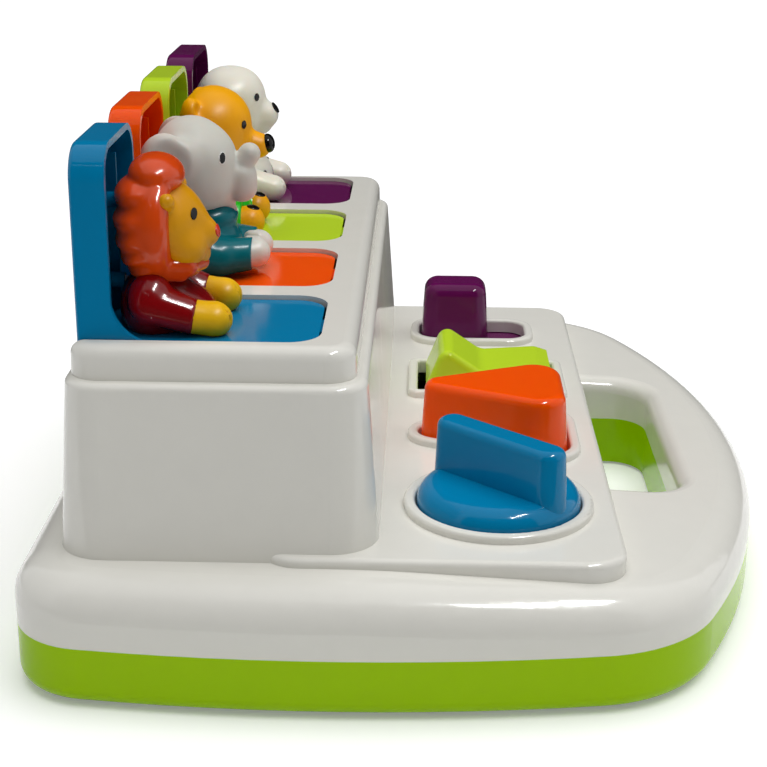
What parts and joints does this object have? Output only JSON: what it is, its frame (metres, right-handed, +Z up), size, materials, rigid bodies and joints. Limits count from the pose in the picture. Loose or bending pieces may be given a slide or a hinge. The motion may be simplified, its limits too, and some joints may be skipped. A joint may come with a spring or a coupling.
{
  "type": "pop up animal toy",
  "caption": "Pop-up toy: a dial, a push button, a rocker and a slide each release a spring-hinged lid with an animal figure on a D-shaped base with a carry handle.",
  "frame": {"origin": "centre of the footprint on the floor that the toy stands on", "axes": "+Z up; +X across the row of flaps towards the purple one; -Y towards the child, where the controls and the carry handle are"},
  "size_m": [0.29, 0.2318, 0.1556],
  "materials": {
    "white_shell": "gloss",
    "green_tray": "gloss",
    "blue": "gloss",
    "orange": "gloss",
    "lime": "gloss",
    "purple": "gloss",
    "black_rubber": "matte",
    "steel": "satin",
    "natural_plastic": "satin",
    "lion_vinyl": "satin",
    "elephant_vinyl": "satin",
    "bear_vinyl": "satin",
    "puppy_vinyl": "satin"
  },
  "bodies": {
    "base": {"base_tray": "green_tray", "top_shell": "white_shell", "deck_frame": "white_shell", "rubber_feet": "black_rubber", "base_screws": "steel", "deck_screws": "steel", "rocker_pin": "steel", "slide_keeper": "natural_plastic", "keeper_screws": "steel", "button_spring": "steel", "hinge_pins_blue": "steel", "hinge_pins_orange": "steel", "hinge_pins_green": "steel", "hinge_pins_purple": "steel", "flap_spring_blue": "steel", "flap_spring_orange": "steel", "flap_spring_green": "steel", "flap_spring_purple": "steel", "bar_spring_dial": "steel", "bar_spring_button": "steel", "bar_spring_rocker": "steel", "bar_spring_slide": "steel"},
    "flap_blue_body": {"flap_blue": "blue", "figure_lion": "lion_vinyl", "figure_screws_blue": "steel"},
    "flap_orange_body": {"flap_orange": "orange", "figure_elephant": "elephant_vinyl", "figure_screws_orange": "steel"},
    "flap_green_body": {"flap_green": "lime", "figure_bear": "bear_vinyl", "figure_screws_green": "steel"},
    "flap_purple_body": {"flap_purple": "purple", "figure_puppy": "puppy_vinyl", "figure_screws_purple": "steel"},
    "dial_body": {"dial_knob": "blue", "dial_crank": "natural_plastic", "dial_screw": "steel"},
    "button_body": {"button_cap": "orange"},
    "rocker_body": {"rocker": "lime"},
    "slide_body": {"slide_knob": "purple", "slide_plate": "purple", "slide_screws": "steel"},
    "bar_dial_body": {"bar_dial": "natural_plastic"},
    "bar_button_body": {"bar_button": "natural_plastic"},
    "bar_rocker_body": {"bar_rocker": "natural_plastic"},
    "bar_slide_body": {"bar_slide": "natural_plastic"}
  },
  "joints": [
    {"name": "flap_blue_hinge", "type": "hinge", "parent": "base", "child": "flap_blue_body", "pos_m": [-0.087, 0.0887, 0.095], "axis": [1, 0, 0], "range_deg": [0, 90], "stiffness_Nm_per_rad": 0.02, "springref_deg": -57.3, "deforming": ["flap_spring_blue"]},
    {"name": "flap_orange_hinge", "type": "hinge", "parent": "base", "child": "flap_orange_body", "pos_m": [-0.029, 0.0887, 0.095], "axis": [1, 0, 0], "range_deg": [0, 90], "stiffness_Nm_per_rad": 0.02, "springref_deg": -57.3, "deforming": ["flap_spring_orange"]},
    {"name": "flap_green_hinge", "type": "hinge", "parent": "base", "child": "flap_green_body", "pos_m": [0.029, 0.0887, 0.095], "axis": [1, 0, 0], "range_deg": [0, 90], "stiffness_Nm_per_rad": 0.02, "springref_deg": -57.3, "deforming": ["flap_spring_green"]},
    {"name": "flap_purple_hinge", "type": "hinge", "parent": "base", "child": "flap_purple_body", "pos_m": [0.087, 0.0887, 0.095], "axis": [1, 0, 0], "range_deg": [0, 90], "stiffness_Nm_per_rad": 0.02, "springref_deg": -57.3, "deforming": ["flap_spring_purple"]},
    {"name": "dial_turn", "type": "hinge", "parent": "base", "child": "dial_body", "pos_m": [-0.087, -0.026, 0.045], "axis": [0, 0, 1], "range_deg": [0, 45], "stiffness_Nm_per_rad": 0.01, "springref_deg": -22.92},
    {"name": "button_press", "type": "slide", "parent": "base", "child": "button_body", "axis": [0, 0, -1], "range_m": [0, 0.005], "stiffness_N_per_m": 300, "springref_m": -0.002, "deforming": ["button_spring"]},
    {"name": "rocker_tilt", "type": "hinge", "parent": "base", "child": "rocker_body", "pos_m": [0.029, -0.026, 0.036], "axis": [-1, 0, 0], "range_deg": [0, 15], "stiffness_Nm_per_rad": 0.02, "springref_deg": -20.05},
    {"name": "slide_push", "type": "slide", "parent": "base", "child": "slide_body", "axis": [0, -1, 0], "range_m": [0, 0.014], "stiffness_N_per_m": 60, "springref_m": -0.004},
    {"name": "bar_dial_slide", "type": "slide", "parent": "base", "child": "bar_dial_body", "axis": [0, -1, 0], "range_m": [0, 0.00766], "deforming": ["bar_spring_dial"]},
    {"name": "bar_button_slide", "type": "slide", "parent": "base", "child": "bar_button_body", "axis": [0, -1, 0], "range_m": [0, 0.005], "deforming": ["bar_spring_button"]},
    {"name": "bar_rocker_slide", "type": "slide", "parent": "base", "child": "bar_rocker_body", "axis": [0, -1, 0], "range_m": [0, 0.00277], "deforming": ["bar_spring_rocker"]},
    {"name": "bar_slide_slide", "type": "slide", "parent": "base", "child": "bar_slide_body", "axis": [0, -1, 0], "range_m": [0, 0.01401], "deforming": ["bar_spring_slide"]}
  ],
  "couplings": [
    {"joint": "bar_dial_slide", "follows": "dial_turn", "m_per_rad": 0.009745},
    {"joint": "bar_button_slide", "follows": "button_press", "ratio": 1},
    {"joint": "bar_rocker_slide", "follows": "rocker_tilt", "m_per_rad": 0.01056},
    {"joint": "bar_slide_slide", "follows": "slide_push", "ratio": 1}
  ]
}
